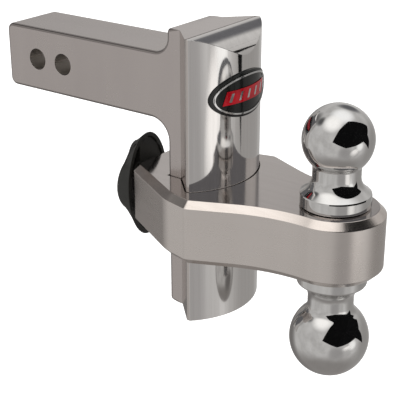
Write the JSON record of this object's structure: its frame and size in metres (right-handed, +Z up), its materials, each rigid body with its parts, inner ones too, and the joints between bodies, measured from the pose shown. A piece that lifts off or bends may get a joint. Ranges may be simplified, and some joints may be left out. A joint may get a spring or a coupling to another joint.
{
  "type": "trailer hitch with ball",
  "caption": "Drop hitch: a square shank and deep post in one billet, a sliding mount block with a ball above and below, and a sprung locking pin turned by a lobed knob.",
  "frame": {"origin": "centre of the shank's free end face, the end that goes into the receiver tube", "axes": "+X along the shank towards the balls, +Z up towards the top of the post, +Y to the left when looking along +X; the hitch is symmetric about Y = 0"},
  "size_m": [0.3283, 0.1214, 0.2466],
  "materials": {
    "billet_aluminium": "satin brushed, polished on the nose of the post",
    "mount_aluminium": "satin walls, polished top and bottom faces",
    "ball_chrome": "polished chrome plate",
    "badge_black": "glossy black enamel",
    "badge_silver": "bright raised trim",
    "badge_red": "glossy red enamel",
    "pin_steel": "ground and zinc plated",
    "bush_bronze": "turned bronze",
    "seal_rubber": "matt black",
    "spring_steel": "drawn wire",
    "knob_plastic": "satin moulded black",
    "washer_nylon": "natural nylon"
  },
  "bodies": {
    "receiver_shank": {"shank_post": "billet_aluminium", "badge_plate": "badge_black", "badge_bezel": "badge_silver", "badge_band": "badge_red"},
    "ball_mount": {"ball_mount_body": "mount_aluminium", "top_ball": "ball_chrome", "bottom_ball": "ball_chrome", "upper_ball_dowel": "pin_steel", "lower_ball_dowel": "pin_steel", "pin_guide_bush": "bush_bronze", "pin_o_ring": "seal_rubber", "pin_spring": "spring_steel", "cam_sleeve": "pin_steel"},
    "knob": {"knob_shell": "knob_plastic", "knob_hub": "pin_steel", "knob_snap_ring": "spring_steel", "knob_thrust_washer": "washer_nylon", "knob_cap": "knob_plastic"},
    "lock_pin": {"locking_pin": "pin_steel", "spring_washer": "pin_steel", "cross_pin": "pin_steel"}
  },
  "joints": [
    {"name": "mount_slide", "type": "slide", "parent": "receiver_shank", "child": "ball_mount", "axis": [0, 0, 1], "range_m": [-0.0508, 0]},
    {"name": "knob_turn", "type": "hinge", "parent": "ball_mount", "child": "knob", "pos_m": [0.115, 0, -0.09255], "axis": [1, 0, 0], "range_deg": [0, 90]},
    {"name": "pin_slide", "type": "slide", "parent": "knob", "child": "lock_pin", "axis": [1, 0, 0], "range_m": [0, 0.01]}
  ],
  "couplings": [
    {"joint": "pin_slide", "follows": "knob_turn", "m_per_rad": 0.0063662}
  ]
}
